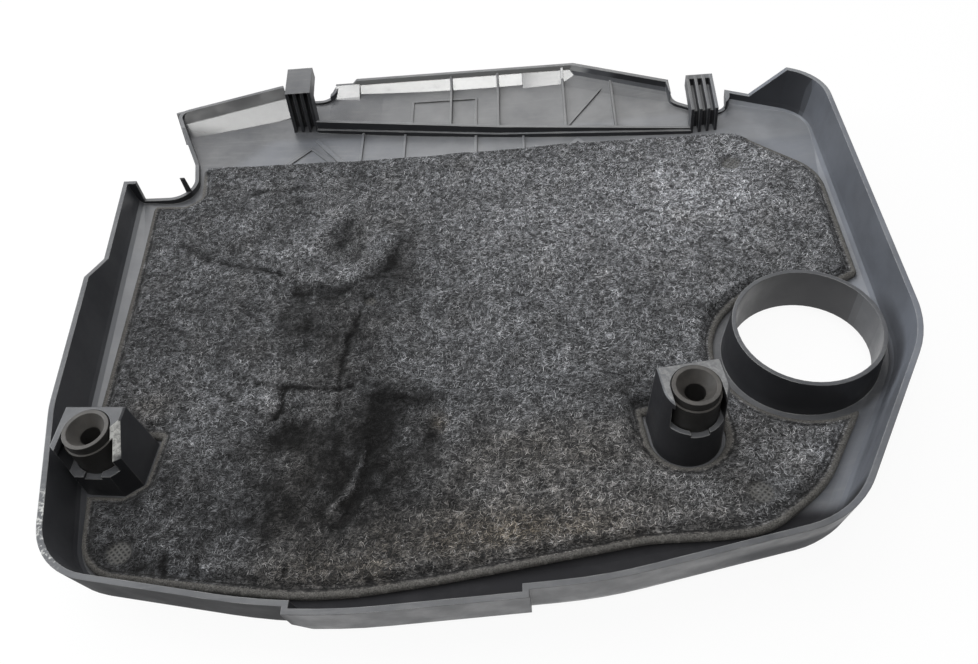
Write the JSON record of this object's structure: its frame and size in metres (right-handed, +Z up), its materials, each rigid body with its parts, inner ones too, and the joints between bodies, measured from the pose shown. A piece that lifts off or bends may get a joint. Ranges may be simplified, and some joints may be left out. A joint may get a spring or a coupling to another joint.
{
  "type": "engine cover",
  "caption": "Moulded plastic engine cover lying underside up, with a skirt, an oil filler opening, grommet towers, rear hooks and a sound-damping felt liner.",
  "frame": {"origin": "middle of the small flat at the lowest point of the crowned outer face, on which the cover lies", "axes": "+X towards the oil filler opening, +Y towards the hooked rear edge, +Z up out of the underside"},
  "size_m": [0.4578, 0.4109, 0.0536],
  "materials": {
    "shell_plastic": "satin moulded, dark slate grey",
    "liner_felt": "needled felt, near black with pale fibres",
    "grommet_rubber": "dusty brownish-black rubber"
  },
  "bodies": {
    "root": {"cover_shell": "shell_plastic", "tower_left": "shell_plastic", "tower_right": "shell_plastic", "hook_left": "shell_plastic", "hook_right": "shell_plastic", "felt_liner": "liner_felt", "grommet_left": "grommet_rubber", "grommet_right": "grommet_rubber"}
  },
  "joints": []
}
